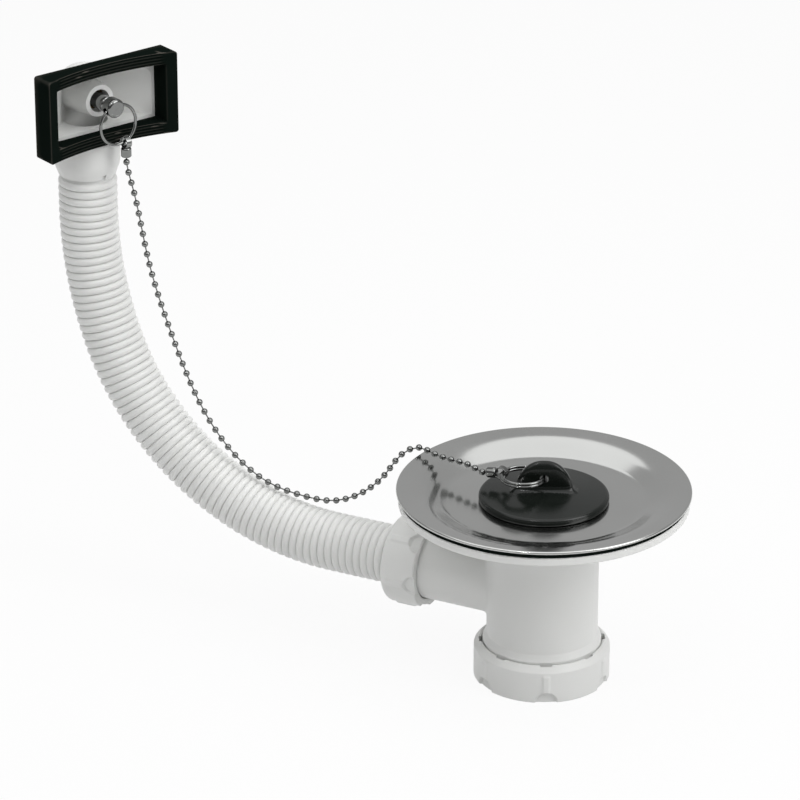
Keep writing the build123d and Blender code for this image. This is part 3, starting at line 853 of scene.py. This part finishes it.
def frame_loop(width, height, corner, cuts_w=56, cuts_h=24):
    """Closed loop of points around a rounded rectangle, with the same count for every size."""
    w, h = width / 2, height / 2
    base = rounded([(-w, -h, corner), (w, -h, corner), (w, h, corner), (-w, h, corner)], steps=5)
    points = []
    for i, (here, there) in enumerate(zip(base, np.roll(base, -1, axis=0))):
        straight = i % 6 == 5
        cuts = (cuts_w if i in (5, 17) else cuts_h) if straight else 1
        points += [here + (there - here) * k / cuts for k in range(cuts)]
    return np.array(points)


def face_x(y):
    """Front of the hollowed face at a place across its width."""
    reach = (face_hollow_r**2 - (frame_w / 2) ** 2) ** 0.5
    return face_ahead + reach - np.sqrt(face_hollow_r**2 - y**2)


def rib_dip(inset, y):
    """How far the face lies back between the ribs, by the distance from the opening's edge."""
    wave = (0.5 + 0.5 * np.cos(2 * pi * (inset - rail / 2 + rib_pitch / 2) / rib_pitch)) ** 1.4
    fade = soft_step(opening_w / 2 - 0.5 - abs(y), 1.2)
    return rib_relief * wave * fade


inner_loop = frame_loop(opening_w, opening_h, opening_corner)
outer_loop = frame_loop(frame_w, frame_h, frame_corner)
edge_soft = 0.45
edge_steps = np.array((0, 0.04, 0.14, 0.28))
across_rail = np.linspace(edge_soft, rail - edge_soft, 40)
front_rows = []
for inset in np.concatenate((edge_steps, across_rail, rail - edge_steps[::-1])):
    share = inset / rail
    loop = inner_loop * (1 - share) + outer_loop * share
    edge = edge_soft - min(inset, rail - inset, edge_soft)
    drop = edge_soft - (edge_soft**2 - edge**2) ** 0.5
    y, z = loop[:, 0], loop[:, 1]
    on_rail = soft_step(abs(z) - opening_h / 2 + 0.01, 0.02)
    front_rows.append(np.stack((face_x(y) - drop - rib_dip(inset, y) * on_rail, y, z), axis=1))


def wall_row(loop, share):
    """Row of a side wall: share runs from 0 at the face to 1 at the back."""
    y, z = loop[:, 0], loop[:, 1]
    return np.stack((face_x(y) * (1 - share) + frame_back * share, y, z), axis=1)


inner_rows = [wall_row(inner_loop, share) for share in (1, 0.9, 0.5, 0.12)]
outer_rows = [wall_row(outer_loop, share) for share in (0.12, 0.5, 0.9, 1)]
gasket_rows = on_head(np.array([*inner_rows, *front_rows, *outer_rows]))
gasket_faces = skin_faces(*gasket_rows.shape[:2], True, True)
add_piece("ribbed_face_gasket", gasket_rows, gasket_faces, face_rubber, "overflow_gasket")

# %% [markdown]
# ## The stud in the head
#
# The chain hangs from a chromed stud that is turned from bar: a thread in the boss, a plain neck, a
# waist, and a domed head with a hole across it for the ring. It is turned about Z, laid along the
# head's own X, and drilled with the same helper as the dish.

# %% Turn the stud
stud_root, stud_shoulder, stud_front = -2.6, 5.4, 21.94
stud_head, stud_waist = 5.0, 1.4
stud_thread_r, neck_r, waist_r, stud_head_r = 2.45, 3.2, 2.7, 3.85
head_back = stud_front - stud_head
neck_end = stud_front - stud_head - stud_waist
stud_section = rounded(
    [
        (0, stud_root), (stud_thread_r, stud_root, 0.3), (stud_thread_r, stud_shoulder),
        (neck_r, stud_shoulder), (neck_r, neck_end, 0.7), (waist_r, neck_end + 0.3, 0.4),
        (waist_r, head_back, 0.4), (stud_head_r, head_back, 1.6), (stud_head_r, stud_front, 2.2),
        (1.2, stud_front, 4.0), (0, stud_front - 0.1),
    ],
    steps=8,
)
stud_rows = turned(stud_section, segments=96)
stud_rows = on_head(np.stack((stud_rows[..., 2], stud_rows[..., 1], -stud_rows[..., 0]), axis=-1))
stud_faces = skin_faces(*stud_rows.shape[:2], True, False)
stud = add_piece("turned_stud", stud_rows, stud_faces, chrome_plate, "chain_stud")
cross_turn, cross_hole_r = radians(14.0), 1.45
cross_hole = np.array((0, cos(cross_turn), sin(cross_turn)))
cross_way = Vector(on_head(cross_hole) - on_head((0, 0, 0)))
drill(stud, [on_head((stud_front - stud_head / 2, 0, 0))], cross_hole_r, -8, 8, cross_way)

# %% [markdown]
# ## The bead chain
#
# A bead chain is a row of hollow balls joined by short wires, whose ends are headed inside the balls.
# The CAD keeps each ball as a few flat facets, so here every ball and wire is made again as a smooth
# turned shape. Their places are read from the CAD solids: each is its own island in the mesh,
# so its middle is the middle of that island.

# %% Find the beads
def islands(node):
    """Middle of every separate solid of a CAD node, in millimetres."""
    mesh = frame["nodes"][node].data
    parent = list(range(len(mesh.vertices)))

    def root(i):
        while parent[i] != i:
            parent[i] = parent[parent[i]]
            i = parent[i]
        return i

    same_place = {}
    for vertex in mesh.vertices:
        key = tuple(round(c / mm, 3) for c in vertex.co)
        parent[root(vertex.index)] = root(same_place.setdefault(key, vertex.index))
    for edge in mesh.edges:
        parent[root(edge.vertices[0])] = root(edge.vertices[1])
    groups = {}
    for vertex in mesh.vertices:
        groups.setdefault(root(vertex.index), set()).add(tuple(round(c / mm, 3) for c in vertex.co))
    return [np.mean(list(group), axis=0) for group in groups.values()]


bead_places = islands("chain_beads")
link_places = islands("chain_links")
print(len(bead_places), "beads and", len(link_places), "links found")

# %% [markdown]
# ## Balls and wires
#
# The islands come in no order, so the chain is followed from its highest bead, always to the nearest
# one that is left. The direction from bead to bead then turns each ball, so that its hole lies along
# the chain, and each wire runs between two neighbours.

# %% Turn the beads and links
def in_chain_order(places):
    """Places sorted along the chain, from the head to the plug."""
    left = sorted(places, key=lambda p: -p[2])
    order = [left.pop(0)]
    while left:
        nearest = min(range(len(left)), key=lambda i: np.linalg.norm(left[i] - order[-1]))
        order.append(left.pop(nearest))
    return np.array(order)


def set_along(section_rows, place, heading):
    """Turned rows about Z, carried to a place with Z along the heading."""
    frame_of = np.array(Vector(heading).to_track_quat("Z", "Y").to_matrix())
    return section_rows.reshape(-1, 3) @ frame_of.T + place


bead_r, bead_hole_r, bead_end, hole_angle = 1.32, 0.36, 1.05, 0.33
beads = in_chain_order(bead_places)
headings = np.gradient(beads, axis=0)
bead_angles = np.linspace(hole_angle, pi - hole_angle, 13)
bead_round = [(bead_r * sin(a), bead_r * cos(a)) for a in bead_angles]
bead_section = np.array([(bead_hole_r, bead_end), *bead_round, (bead_hole_r, -bead_end)])
bead_rows = turned(bead_section, segments=24)
bead_faces = skin_faces(*bead_rows.shape[:2], True, True)
points, faces = [], []
for place, heading in zip(beads, headings):
    faces += [tuple(len(points) + i for i in face) for face in bead_faces]
    points += set_along(bead_rows, place, heading).tolist()
add_piece("chain_balls", points, faces, chrome_plate, "chain_beads")

link_r, wire_half = 0.28, 1.45
link_section = rounded([(0, -wire_half), (link_r, -wire_half), (link_r, wire_half), (0, wire_half)])
link_rows = turned(link_section, segments=12)
link_faces = skin_faces(*link_rows.shape[:2], True, True)
points, faces = [], []
for here, there in zip(beads, beads[1:]):
    faces += [tuple(len(points) + i for i in face) for face in link_faces]
    points += set_along(link_rows, (here + there) / 2, there - here).tolist()
add_piece("chain_wires", points, faces, chrome_plate, "chain_links")

# %% [markdown]
# ## The end clips
#
# Each end of the chain sits in a clip bent from thin sheet: a cup that holds the last bead, and a
# loop around the ring. Cup and loop are two turned shapes, set on the chain's own end bead and
# heading, so that they stay in line with it.

# %% Bend the clips
cup_half, cup_r, cup_exit_r, clip_sheet = 2.05, 2.1, 0.8, 0.45
loop_in_r, loop_half = 2.1, 1.2
cup_section = rounded(
    [
        (cup_exit_r, cup_half, 0.15), (cup_r, cup_half, 1.3), (cup_r, -cup_half, 0.9), (0, -cup_half),
        (0, -cup_half + clip_sheet), (cup_r - clip_sheet, -cup_half + clip_sheet, 0.5),
        (cup_r - clip_sheet, cup_half - clip_sheet, 0.9), (cup_exit_r, cup_half - clip_sheet, 0.15),
    ],
    steps=6,
)
loop_section = rounded(
    [
        (loop_in_r, -loop_half, 0.15), (loop_in_r + clip_sheet, -loop_half, 0.15),
        (loop_in_r + clip_sheet, loop_half, 0.15), (loop_in_r, loop_half, 0.15),
    ],
    steps=3,
)


def end_clip(name, node, bead, heading, loop_axis):
    """Cup around an end bead and a loop behind it, about an axis square to the chain."""
    heading = heading / np.linalg.norm(heading)
    cup_rows, loop_rows = turned(cup_section, segments=40), turned(loop_section, segments=64)
    cup = set_along(cup_rows, bead, heading)
    loop = set_along(loop_rows, bead - heading * (loop_in_r + cup_half), loop_axis)
    clip_faces = skin_faces(*cup_rows.shape[:2], True, True)
    clip_faces += [
        tuple(len(cup) + i for i in face) for face in skin_faces(*loop_rows.shape[:2], True, True)
    ]
    return add_piece(name, np.concatenate((cup, loop)), clip_faces, chrome_plate, node)


head_across = on_head((0, 1, 0)) - on_head((0, 0, 0))
end_clip("stud_end_clip", "stud_clip", beads[0], beads[1] - beads[0], head_across)
end_clip("plug_end_clip", "plug_clip", beads[-1], beads[-2] - beads[-1], np.array((0, 1.0, 0)))

# %% [markdown]
# ## The floor
#
# A product stands on white paper. Paper that is lit to a full white would need so much light that the
# white plastic burns out. So for rays that come straight from the camera, or from a mirror, most of
# the paper is a plain white glow. The rest is ordinary paper, which takes a soft shadow.

# %% Floor
def is_background_ray(graph):
    """1 for rays that see the background: straight, mirrored or through glass."""
    rays = graph.node("LightPath")
    outputs = rays.socket.node.outputs
    seen = rays + Shade(graph.tree, outputs["Is Glossy Ray"])
    return seen + Shade(graph.tree, outputs["Is Transmission Ray"])


floor_gap, floor_half = 0.05 * mm, 3.0
floor_z = cad_box[0][2] - floor_gap
floor_mesh = bpy.data.meshes.new("floor")
around_floor = ((-1, -1), (1, -1), (1, 1), (-1, 1))
corners = [(side * floor_half, depth * floor_half, floor_z) for side, depth in around_floor]
floor_mesh.from_pydata(corners, [], [(0, 1, 2, 3)])
floor = bpy.data.objects.new("floor", floor_mesh)
bpy.context.scene.collection.objects.link(floor)

paper = bpy.data.materials.new("white_paper")
paper.use_nodes = True
paper_tree = paper.node_tree
paper_graph = Shade(paper_tree)
paper_tree.nodes.remove(paper_tree.nodes["Principled BSDF"])
paper_tone, paper_glow_share = (0.78, 0.78, 0.78, 1), 0.92
paper_diffuse = paper_graph.node("BsdfDiffuse", None, {"Color": paper_tone})
paper_glow = paper_graph.node("Emission", None, {"Color": (1, 1, 1, 1), "Strength": 1.0})
glow_share = is_background_ray(paper_graph) * paper_glow_share
paper_mix = paper_graph.node("MixShader", None, {0: glow_share, 1: paper_diffuse, 2: paper_glow})
paper_tree.links.new(paper_mix.socket, paper_tree.nodes["Material Output"].inputs["Surface"])
floor_mesh.materials.append(paper)
print("floor at", round(floor_z, 4))

# %% [markdown]
# ## The sky
#
# Metal looks like what it mirrors. An even sky would turn the dish into flat grey paint, so this one is
# brighter behind the object than behind the camera, and a little brighter overhead. The flat rim then
# mirrors a light grey, and the walls of the dish grade into darker bands.

# %% Sky
sky = bpy.data.worlds.new("studio")
bpy.context.scene.world = sky
sky.use_nodes = True
sky_tree = sky.node_tree
sky_graph = Shade(sky_tree)
direction = sky_graph.node("TexCoord", output="Generated")
ray_x = sky_graph.node("SeparateXYZ", None, {"Vector": direction})
ray_y, ray_z = [Shade(sky_tree, ray_x.socket.node.outputs[axis]) for axis in "YZ"]
away = ray_x * -sin(turn) + ray_y * cos(turn)
sky_level, behind_gain, overhead_gain = 0.31, 0.165, 0.2
level = (sky_level + behind_gain * away) * (1.0 + overhead_gain * ray_z)
backdrop = sky_tree.nodes["Background"]
sky_tree.links.new(level.socket, backdrop.inputs["Color"])
backdrop.inputs["Strength"].default_value = 1.0
print("sky ready")

# %% [markdown]
# ## Softboxes
#
# A wide softbox above the front lights the white plastic. A weaker one further back is there for the
# steel: the back wall of the dish mirrors it as one broad, soft highlight. A third comes from the right
# and rounds the tube. A very small lamp adds little light, but puts a bright point on each bead.

# %% Softboxes
def softbox(name, place, width, height, watts):
    """Rectangular lamp at a place relative to the middle of the object, aimed at that middle."""
    lamp = bpy.data.lights.new(name, "AREA")
    lamp.shape = "RECTANGLE"
    lamp.size, lamp.size_y = width, height
    lamp.energy = watts
    stand = bpy.data.objects.new(name, lamp)
    stand.location = middle + Vector(place)
    stand.rotation_euler = (middle - stand.location).to_track_quat("-Z", "Y").to_euler()
    bpy.context.scene.collection.objects.link(stand)
    print(name, watts, "W")


middle = Vector((-0.08, 0, 0.02))
softbox("top_softbox", (0.1, -0.42, 1.0), width=2.0, height=1.2, watts=7.6)
softbox("back_softbox", (0.0, 0.34, 1.0), width=1.4, height=0.9, watts=3.2)
softbox("right_softbox", (1.1, 0.0, 0.75), width=0.7, height=0.9, watts=7)
softbox("spark_lamp", (0.12, -0.66, 1.0), width=0.09, height=0.09, watts=0.9)

# %% [markdown]
# ## Finish
#
# The view transform is set to Standard, so that a colour renders about as it was written.

# %% Set the view transform
bpy.context.scene.view_settings.view_transform = "Standard"
